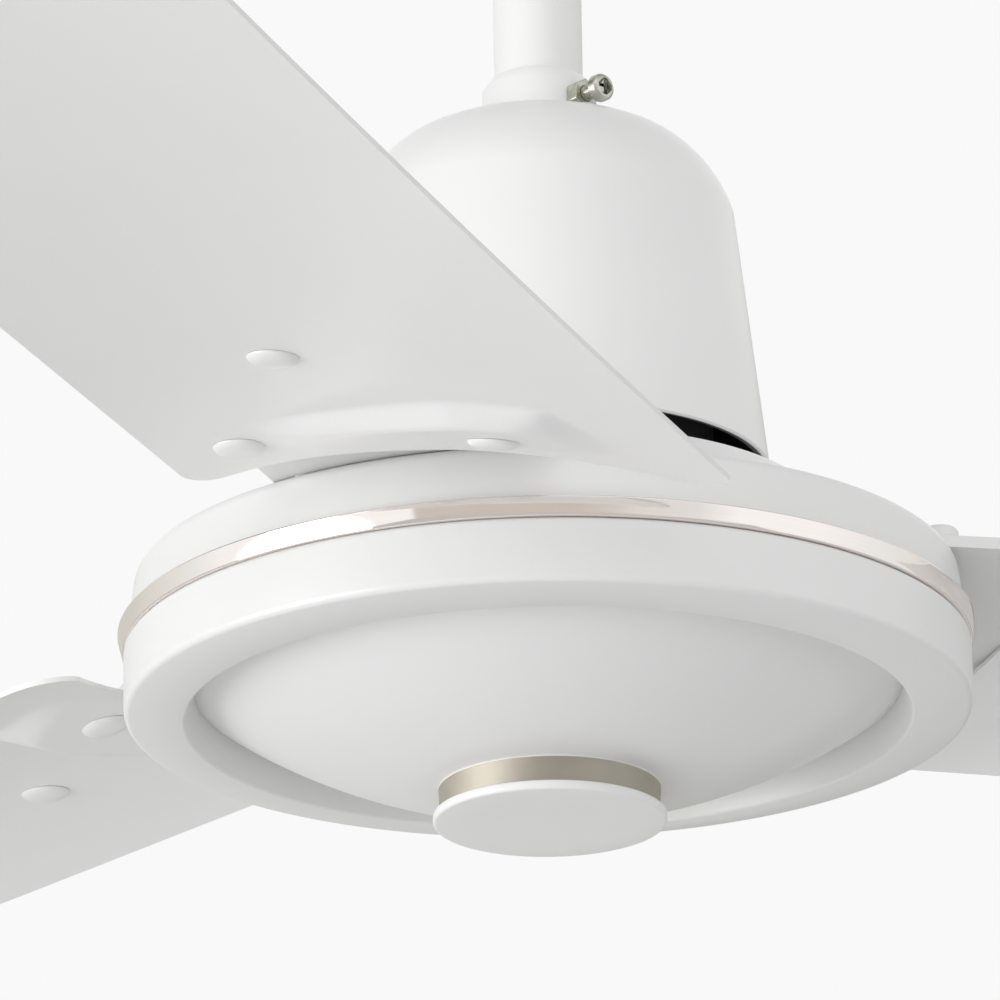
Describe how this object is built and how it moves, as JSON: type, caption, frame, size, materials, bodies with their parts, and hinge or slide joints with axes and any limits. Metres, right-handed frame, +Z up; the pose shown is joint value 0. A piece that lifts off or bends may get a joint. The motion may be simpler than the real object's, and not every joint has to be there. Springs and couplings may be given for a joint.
{
  "type": "ceiling fan",
  "caption": "Ceiling fan with long pitched blades on a shallow round motor with a bright trim ring and a dished base, hung by a downrod with a bell canopy at each end.",
  "frame": {"origin": "on the fan axis at the bottom of the rubber reel's groove, where the bar of the ceiling hook carries the fan", "axes": "+Z up along the fan axis and the downrod, +X along blade_1, +Y along the reel bolt"},
  "size_m": [0.9644, 1.0831, 0.4671],
  "materials": {
    "white_enamel": "satin white enamel",
    "blade_enamel": "satin white enamel on pressed sheet",
    "white_plastic": "smooth moulded, soft gloss",
    "bright_ring": "polished, pale rose-gold tint",
    "zinc_steel": "zinc plated",
    "shaft_steel": "ground",
    "laminated_steel": "stacked laminations",
    "copper_winding": "enamelled copper wire",
    "cast_aluminium": "cast",
    "reel_rubber": "matt black",
    "black_plastic": "matt black case",
    "brass_screws": "plated"
  },
  "bodies": {
    "reel": {"hook_reel": "reel_rubber"},
    "hanger": {"shackle": "zinc_steel", "reel_bolt": "zinc_steel", "reel_nut": "zinc_steel", "reel_split_pin": "zinc_steel", "rod_top_bolt": "zinc_steel", "rod_top_nut": "zinc_steel", "rod_top_split_pin": "zinc_steel", "downrod": "white_enamel", "rod_bottom_bolt": "zinc_steel", "rod_bottom_nut": "zinc_steel", "rod_bottom_split_pin": "zinc_steel", "motor_shaft": "shaft_steel", "wiring_holder": "white_plastic", "holder_circlip": "zinc_steel", "capacitor": "black_plastic", "terminal_block": "white_plastic", "terminal_screws": "brass_screws", "stator_core": "laminated_steel", "stator_coils": "copper_winding", "lower_bearing_inner_race": "shaft_steel", "upper_bearing_inner_race": "shaft_steel", "shaft_circlip": "zinc_steel"},
    "rotor": {"rotor_core": "laminated_steel", "rotor_cage": "cast_aluminium", "top_cover": "white_enamel", "bottom_cover": "white_enamel", "cover_screws": "zinc_steel", "trim_ring": "bright_ring", "skirt": "white_enamel", "end_cap": "white_plastic", "lower_bearing_outer_race": "shaft_steel", "lower_bearing_balls": "shaft_steel", "upper_bearing_outer_race": "shaft_steel", "upper_bearing_balls": "shaft_steel", "blade_1": "blade_enamel", "blade_2": "blade_enamel", "blade_3": "blade_enamel", "blade_shank_1": "white_enamel", "blade_shank_2": "white_enamel", "blade_shank_3": "white_enamel", "blade_rivets_1": "blade_enamel", "blade_rivets_2": "blade_enamel", "blade_rivets_3": "blade_enamel", "shank_screws": "white_enamel", "shank_washers": "white_enamel"},
    "upper_canopy": {"upper_canopy": "white_plastic", "upper_canopy_screw": "zinc_steel", "upper_canopy_nut": "zinc_steel"},
    "lower_canopy": {"lower_canopy": "white_plastic", "lower_canopy_screw": "zinc_steel", "lower_canopy_nut": "zinc_steel"}
  },
  "joints": [
    {"name": "hanger_swing", "type": "hinge", "parent": "reel", "child": "hanger", "pos_m": [0, 0, 0.011], "axis": [0, 1, 0], "range_deg": [-5, 5]},
    {"name": "rotor_spin", "type": "hinge", "parent": "hanger", "child": "rotor", "pos_m": [0, 0, -0.379], "axis": [0, 0, -1], "continuous": true},
    {"name": "upper_canopy_slide", "type": "slide", "parent": "hanger", "child": "upper_canopy", "axis": [0, 0, -1], "range_m": [0, 0.08]},
    {"name": "lower_canopy_slide", "type": "slide", "parent": "hanger", "child": "lower_canopy", "axis": [0, 0, 1], "range_m": [0, 0.08]}
  ]
}
